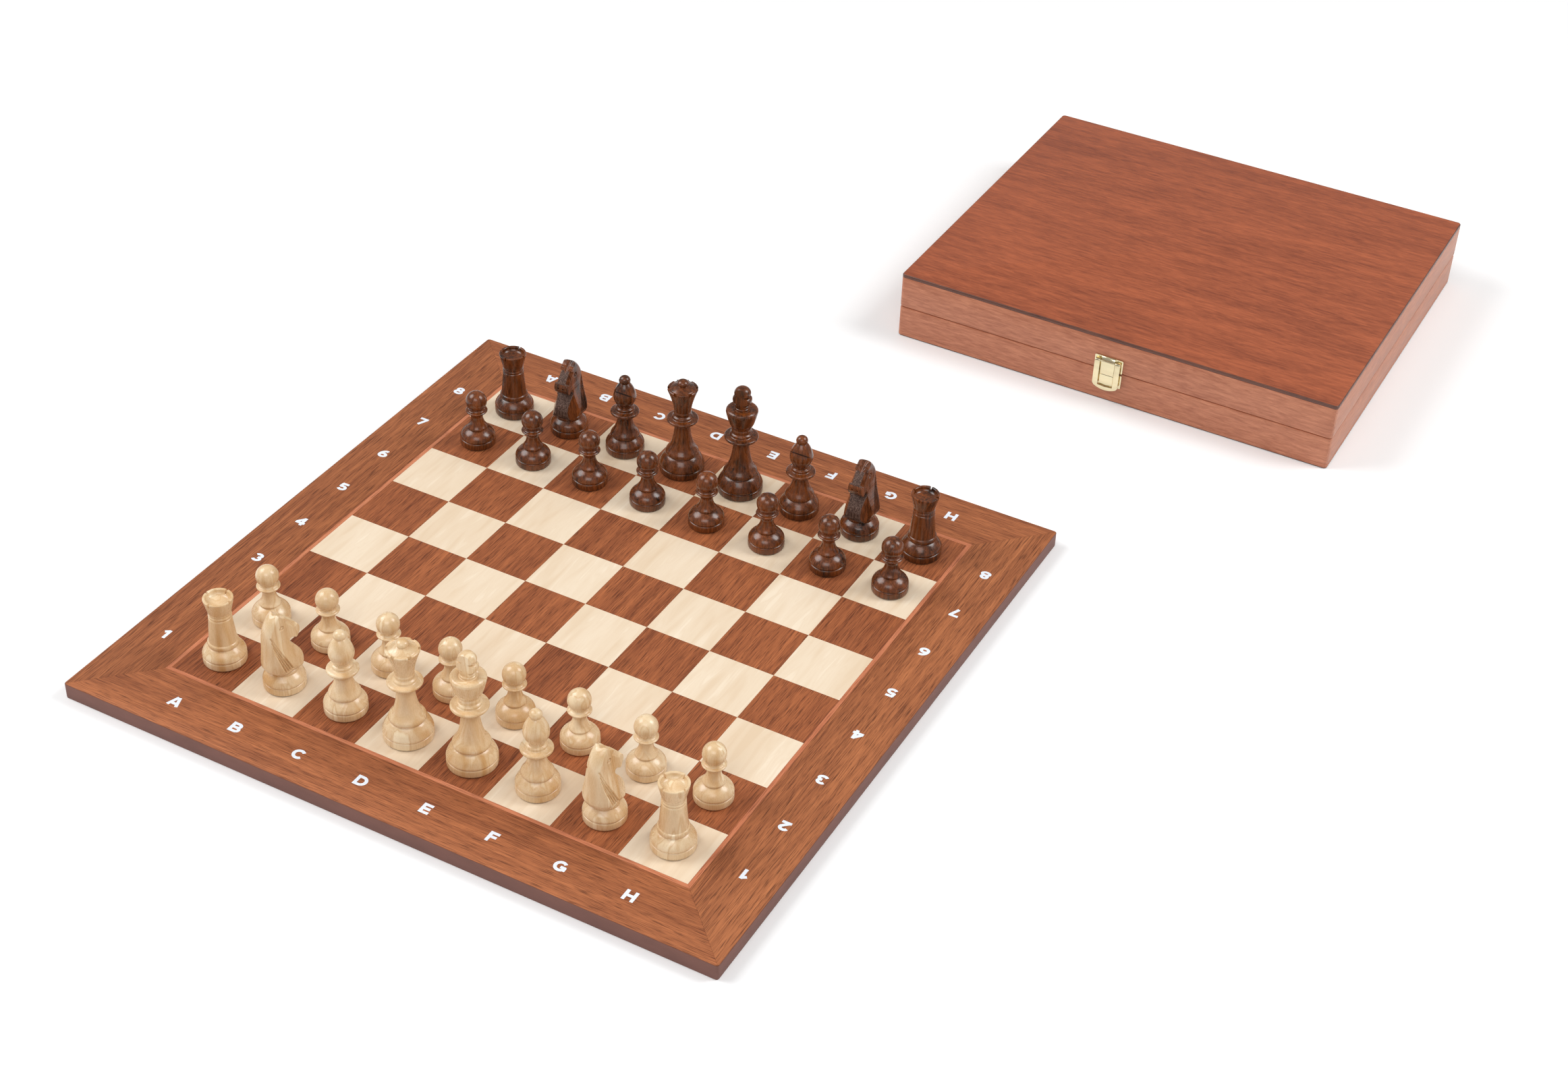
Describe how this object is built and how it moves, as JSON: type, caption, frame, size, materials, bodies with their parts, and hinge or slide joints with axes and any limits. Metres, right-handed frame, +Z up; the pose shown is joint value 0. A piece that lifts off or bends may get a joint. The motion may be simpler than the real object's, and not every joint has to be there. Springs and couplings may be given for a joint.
{
  "type": "chess set with board and storage box",
  "caption": "Inlaid wooden chess board with turned men in the starting position and a hinged, latched wooden storage box standing behind it.",
  "frame": {"origin": "the middle of the whole set's footprint, in the plane of the surface it stands on; the board's middle is 70.5 mm to the left of it and 265.9 mm in front of it", "axes": "+Z up; +Y from white's side of the board towards black's side and the storage box; +X from the a-file towards the h-file"},
  "size_m": [0.641, 1.0318, 0.1032],
  "materials": {
    "field_veneer": "satin lacquered light and dark veneer squares",
    "border_veneer": "satin lacquered dark red-brown veneer",
    "stringing_veneer": "satin lacquered salmon-brown veneer",
    "board_edge_paint": "matt dark brown stain",
    "white_wood": "satin lacquered pale hardwood",
    "black_wood": "gloss lacquered dark brown stain",
    "box_panel_wood": "satin lacquered red-brown stained hardwood",
    "box_wall_wood": "satin lacquered red-brown stained hardwood",
    "green_felt": "matt felt",
    "latch_brass": "polished pale brass plate",
    "hinge_brass": "polished pale brass plate"
  },
  "bodies": {
    "board": {"board_core": "board_edge_paint", "playing_field": "field_veneer", "inlay_stringing": "stringing_veneer", "border_front": "border_veneer", "border_right": "border_veneer", "border_back": "border_veneer", "border_left": "border_veneer"},
    "case": {"case_bottom_panel": "box_panel_wood", "case_frame": "box_wall_wood", "case_lining": "green_felt", "case_divider": "box_wall_wood", "latch_lower_plate": "latch_brass", "hinge_left_case_leaf": "hinge_brass", "hinge_left_pin": "hinge_brass", "hinge_right_case_leaf": "hinge_brass", "hinge_right_pin": "hinge_brass"},
    "lid": {"lid_frame": "box_wall_wood", "lid_top_panel": "box_panel_wood", "latch_upper_plate": "latch_brass", "latch_pin": "latch_brass", "hinge_left_lid_leaf": "hinge_brass", "hinge_right_lid_leaf": "hinge_brass"},
    "hasp": {"latch_hasp": "latch_brass"},
    "white_king_e1": {"white_king_e1": "white_wood"},
    "black_king_e8": {"black_king_e8": "black_wood"},
    "white_queen_d1": {"white_queen_d1": "white_wood"},
    "black_queen_d8": {"black_queen_d8": "black_wood"},
    "white_knight_b1": {"white_knight_b1_base": "white_wood", "white_knight_b1_head": "white_wood"},
    "white_knight_g1": {"white_knight_g1_base": "white_wood", "white_knight_g1_head": "white_wood"},
    "black_knight_b8": {"black_knight_b8_base": "black_wood", "black_knight_b8_head": "black_wood"},
    "black_knight_g8": {"black_knight_g8_base": "black_wood", "black_knight_g8_head": "black_wood"},
    "white_rook_a1": {"white_rook_a1": "white_wood"},
    "white_rook_h1": {"white_rook_h1": "white_wood"},
    "black_rook_a8": {"black_rook_a8": "black_wood"},
    "black_rook_h8": {"black_rook_h8": "black_wood"},
    "white_bishop_c1": {"white_bishop_c1": "white_wood"},
    "white_bishop_f1": {"white_bishop_f1": "white_wood"},
    "black_bishop_c8": {"black_bishop_c8": "black_wood"},
    "black_bishop_f8": {"black_bishop_f8": "black_wood"},
    "white_pawn_a2": {"white_pawn_a2": "white_wood"},
    "white_pawn_b2": {"white_pawn_b2": "white_wood"},
    "white_pawn_c2": {"white_pawn_c2": "white_wood"},
    "white_pawn_d2": {"white_pawn_d2": "white_wood"},
    "white_pawn_e2": {"white_pawn_e2": "white_wood"},
    "white_pawn_f2": {"white_pawn_f2": "white_wood"},
    "white_pawn_g2": {"white_pawn_g2": "white_wood"},
    "white_pawn_h2": {"white_pawn_h2": "white_wood"},
    "black_pawn_a7": {"black_pawn_a7": "black_wood"},
    "black_pawn_b7": {"black_pawn_b7": "black_wood"},
    "black_pawn_c7": {"black_pawn_c7": "black_wood"},
    "black_pawn_d7": {"black_pawn_d7": "black_wood"},
    "black_pawn_e7": {"black_pawn_e7": "black_wood"},
    "black_pawn_f7": {"black_pawn_f7": "black_wood"},
    "black_pawn_g7": {"black_pawn_g7": "black_wood"},
    "black_pawn_h7": {"black_pawn_h7": "black_wood"}
  },
  "joints": [
    {"name": "lid_hinge", "type": "hinge", "parent": "case", "child": "lid", "pos_m": [0.1355, 0.51415, 0.0276], "axis": [-1, 0, 0], "range_deg": [0, 105]},
    {"name": "hasp_hinge", "type": "hinge", "parent": "lid", "child": "hasp", "pos_m": [0.1355, 0.17895, 0.037], "axis": [-1, 0, 0], "range_deg": [0, 120]},
    {"name": "case_lift_off", "type": "slide", "parent": "board", "child": "case", "axis": [0, 0, 1], "range_m": [0, 0.12]},
    {"name": "white_king_e1_lift", "type": "slide", "parent": "board", "child": "white_king_e1", "axis": [0, 0, 1], "range_m": [0, 0.12]},
    {"name": "black_king_e8_lift", "type": "slide", "parent": "board", "child": "black_king_e8", "axis": [0, 0, 1], "range_m": [0, 0.12]},
    {"name": "white_queen_d1_lift", "type": "slide", "parent": "board", "child": "white_queen_d1", "axis": [0, 0, 1], "range_m": [0, 0.12]},
    {"name": "black_queen_d8_lift", "type": "slide", "parent": "board", "child": "black_queen_d8", "axis": [0, 0, 1], "range_m": [0, 0.12]},
    {"name": "white_knight_b1_lift", "type": "slide", "parent": "board", "child": "white_knight_b1", "axis": [0, 0, 1], "range_m": [0, 0.12]},
    {"name": "white_knight_g1_lift", "type": "slide", "parent": "board", "child": "white_knight_g1", "axis": [0, 0, 1], "range_m": [0, 0.12]},
    {"name": "black_knight_b8_lift", "type": "slide", "parent": "board", "child": "black_knight_b8", "axis": [0, 0, 1], "range_m": [0, 0.12]},
    {"name": "black_knight_g8_lift", "type": "slide", "parent": "board", "child": "black_knight_g8", "axis": [0, 0, 1], "range_m": [0, 0.12]},
    {"name": "white_rook_a1_lift", "type": "slide", "parent": "board", "child": "white_rook_a1", "axis": [0, 0, 1], "range_m": [0, 0.12]},
    {"name": "white_rook_h1_lift", "type": "slide", "parent": "board", "child": "white_rook_h1", "axis": [0, 0, 1], "range_m": [0, 0.12]},
    {"name": "black_rook_a8_lift", "type": "slide", "parent": "board", "child": "black_rook_a8", "axis": [0, 0, 1], "range_m": [0, 0.12]},
    {"name": "black_rook_h8_lift", "type": "slide", "parent": "board", "child": "black_rook_h8", "axis": [0, 0, 1], "range_m": [0, 0.12]},
    {"name": "white_bishop_c1_lift", "type": "slide", "parent": "board", "child": "white_bishop_c1", "axis": [0, 0, 1], "range_m": [0, 0.12]},
    {"name": "white_bishop_f1_lift", "type": "slide", "parent": "board", "child": "white_bishop_f1", "axis": [0, 0, 1], "range_m": [0, 0.12]},
    {"name": "black_bishop_c8_lift", "type": "slide", "parent": "board", "child": "black_bishop_c8", "axis": [0, 0, 1], "range_m": [0, 0.12]},
    {"name": "black_bishop_f8_lift", "type": "slide", "parent": "board", "child": "black_bishop_f8", "axis": [0, 0, 1], "range_m": [0, 0.12]},
    {"name": "white_pawn_a2_lift", "type": "slide", "parent": "board", "child": "white_pawn_a2", "axis": [0, 0, 1], "range_m": [0, 0.12]},
    {"name": "white_pawn_b2_lift", "type": "slide", "parent": "board", "child": "white_pawn_b2", "axis": [0, 0, 1], "range_m": [0, 0.12]},
    {"name": "white_pawn_c2_lift", "type": "slide", "parent": "board", "child": "white_pawn_c2", "axis": [0, 0, 1], "range_m": [0, 0.12]},
    {"name": "white_pawn_d2_lift", "type": "slide", "parent": "board", "child": "white_pawn_d2", "axis": [0, 0, 1], "range_m": [0, 0.12]},
    {"name": "white_pawn_e2_lift", "type": "slide", "parent": "board", "child": "white_pawn_e2", "axis": [0, 0, 1], "range_m": [0, 0.12]},
    {"name": "white_pawn_f2_lift", "type": "slide", "parent": "board", "child": "white_pawn_f2", "axis": [0, 0, 1], "range_m": [0, 0.12]},
    {"name": "white_pawn_g2_lift", "type": "slide", "parent": "board", "child": "white_pawn_g2", "axis": [0, 0, 1], "range_m": [0, 0.12]},
    {"name": "white_pawn_h2_lift", "type": "slide", "parent": "board", "child": "white_pawn_h2", "axis": [0, 0, 1], "range_m": [0, 0.12]},
    {"name": "black_pawn_a7_lift", "type": "slide", "parent": "board", "child": "black_pawn_a7", "axis": [0, 0, 1], "range_m": [0, 0.12]},
    {"name": "black_pawn_b7_lift", "type": "slide", "parent": "board", "child": "black_pawn_b7", "axis": [0, 0, 1], "range_m": [0, 0.12]},
    {"name": "black_pawn_c7_lift", "type": "slide", "parent": "board", "child": "black_pawn_c7", "axis": [0, 0, 1], "range_m": [0, 0.12]},
    {"name": "black_pawn_d7_lift", "type": "slide", "parent": "board", "child": "black_pawn_d7", "axis": [0, 0, 1], "range_m": [0, 0.12]},
    {"name": "black_pawn_e7_lift", "type": "slide", "parent": "board", "child": "black_pawn_e7", "axis": [0, 0, 1], "range_m": [0, 0.12]},
    {"name": "black_pawn_f7_lift", "type": "slide", "parent": "board", "child": "black_pawn_f7", "axis": [0, 0, 1], "range_m": [0, 0.12]},
    {"name": "black_pawn_g7_lift", "type": "slide", "parent": "board", "child": "black_pawn_g7", "axis": [0, 0, 1], "range_m": [0, 0.12]},
    {"name": "black_pawn_h7_lift", "type": "slide", "parent": "board", "child": "black_pawn_h7", "axis": [0, 0, 1], "range_m": [0, 0.12]}
  ]
}
